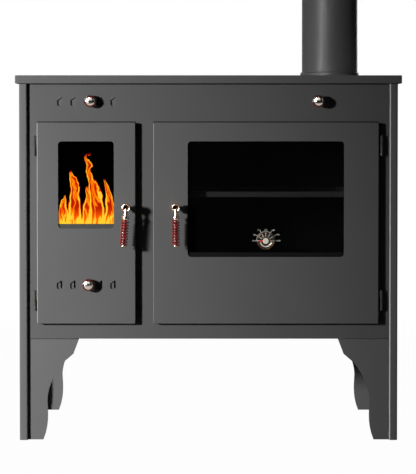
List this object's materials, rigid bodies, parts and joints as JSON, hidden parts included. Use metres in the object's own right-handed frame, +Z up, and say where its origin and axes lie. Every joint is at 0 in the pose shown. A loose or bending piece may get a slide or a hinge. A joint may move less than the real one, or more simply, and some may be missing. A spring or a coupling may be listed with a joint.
{
  "type": "wood-fired cookstove",
  "caption": "Free-standing steel wood cookstove with a glazed fire door, a side-hung glazed oven door, a hotplate hob, air sliders, a bypass pull and a stub of flue pipe on bracketed legs",
  "frame": {"origin": "centre of the footprint, on the floor", "axes": "+Z up, +X to the right seen from the front, doors and knobs face -Y"},
  "size_m": [0.85, 0.55, 1.059],
  "materials": {
    "body_paint": "matt anthracite heat-proof paint on sheet steel, very fine grain",
    "flue_paint": "matt anthracite heat-proof paint on rolled tube",
    "hot_iron": "blacked cast iron with a fine sand-cast grain",
    "chamber_steel": "dark scaled sheet steel",
    "tray_enamel": "black enamel",
    "firebrick": "pressed fireclay, sooty in use",
    "hinge_steel": "plain turned steel",
    "rope_seal": "braided glass-fibre rope, graphite grey",
    "fire_glass": "dark ceramic glass with a printed flame design",
    "oven_glass": "dark ceramic glass with a black border",
    "bronze": "browned bronze",
    "nickel": "polished warm nickel",
    "red_wire": "red lacquered wire, glossy",
    "pointer": "red painted blade"
  },
  "bodies": {
    "root": {"side_panel_left": "body_paint", "side_panel_right": "body_paint", "front_panel": "body_paint", "back_panel": "body_paint", "floor_plate": "body_paint", "leg_bracket_front_left": "body_paint", "leg_bracket_front_right": "body_paint", "leg_bracket_rear_left": "body_paint", "leg_bracket_rear_right": "body_paint", "hob_rim": "body_paint", "hob_plate": "hot_iron", "flue_collar": "flue_paint", "flue_pipe": "flue_paint", "firebox_shell": "chamber_steel", "grate_frame": "chamber_steel", "grate": "hot_iron", "firebrick_left": "firebrick", "firebrick_right": "firebrick", "firebrick_back": "firebrick", "ash_pan": "chamber_steel", "oven_box": "chamber_steel", "oven_rail_left": "chamber_steel", "oven_rail_right": "chamber_steel", "oven_tray": "tray_enamel", "smoke_baffle": "chamber_steel", "fire_hinge_pin_upper": "hinge_steel", "fire_hinge_pin_lower": "hinge_steel", "oven_hinge_pin_upper": "hinge_steel", "oven_hinge_pin_lower": "hinge_steel"},
    "fire_door": {"fire_door_panel": "body_paint", "fire_door_gasket": "rope_seal", "fire_door_glass": "fire_glass", "fire_glass_channel": "body_paint", "fire_glass_clip": "hinge_steel", "fire_hinge_knuckle_upper": "hinge_steel", "fire_hinge_knuckle_lower": "hinge_steel"},
    "oven_door": {"oven_door_panel": "body_paint", "oven_door_gasket": "rope_seal", "oven_door_glass": "oven_glass", "oven_glass_channel": "body_paint", "oven_glass_clip": "hinge_steel", "oven_hinge_knuckle_upper": "hinge_steel", "oven_hinge_knuckle_lower": "hinge_steel", "thermometer_case": "bronze", "thermometer_spiral": "nickel"},
    "fire_handle": {"fire_handle": "nickel", "fire_handle_coil": "red_wire"},
    "oven_handle": {"oven_handle": "nickel", "oven_handle_coil": "red_wire"},
    "door_air": {"door_air_slider": "body_paint", "door_air_knob": "nickel", "door_air_coil": "red_wire"},
    "top_air": {"top_air_slider": "body_paint", "top_air_knob": "nickel", "top_air_coil": "red_wire"},
    "bypass": {"bypass_damper": "nickel", "bypass_coil": "red_wire"},
    "pointer": {"thermometer_pointer": "pointer"},
    "hotplate_ring": {"hotplate_ring": "hot_iron"},
    "hotplate_lid": {"hotplate_lid": "hot_iron"}
  },
  "joints": [
    {"name": "fire_door_hinge", "type": "hinge", "parent": "root", "child": "fire_door", "pos_m": [-0.3835, -0.225, 0.48], "axis": [0, 0, -1], "range_deg": [0, 110]},
    {"name": "oven_door_hinge", "type": "hinge", "parent": "root", "child": "oven_door", "pos_m": [0.3808, -0.225, 0.48], "axis": [0, 0, 1], "range_deg": [0, 110]},
    {"name": "fire_handle_turn", "type": "hinge", "parent": "fire_door", "child": "fire_handle", "pos_m": [-0.18, -0.233, 0.515], "axis": [0, 1, 0], "range_deg": [0, 86]},
    {"name": "oven_handle_turn", "type": "hinge", "parent": "oven_door", "child": "oven_handle", "pos_m": [-0.0715, -0.233, 0.515], "axis": [0, -1, 0], "range_deg": [0, 90]},
    {"name": "door_air_slide", "type": "slide", "parent": "fire_door", "child": "door_air", "axis": [1, 0, 0], "range_m": [-0.0077, 0.004]},
    {"name": "top_air_slide", "type": "slide", "parent": "root", "child": "top_air", "axis": [1, 0, 0], "range_m": [-0.0117, 0]},
    {"name": "bypass_pull", "type": "slide", "parent": "root", "child": "bypass", "axis": [0, -1, 0], "range_m": [0, 0.08]},
    {"name": "pointer_turn", "type": "hinge", "parent": "oven_door", "child": "pointer", "pos_m": [0.12615, -0.2335, 0.441], "axis": [0, 1, 0], "range_deg": [0, 180]},
    {"name": "ring_lift", "type": "slide", "parent": "root", "child": "hotplate_ring", "axis": [0, 0, 1], "range_m": [0, 0.1]},
    {"name": "lid_lift", "type": "slide", "parent": "hotplate_ring", "child": "hotplate_lid", "axis": [0, 0, 1], "range_m": [0, 0.1]}
  ]
}
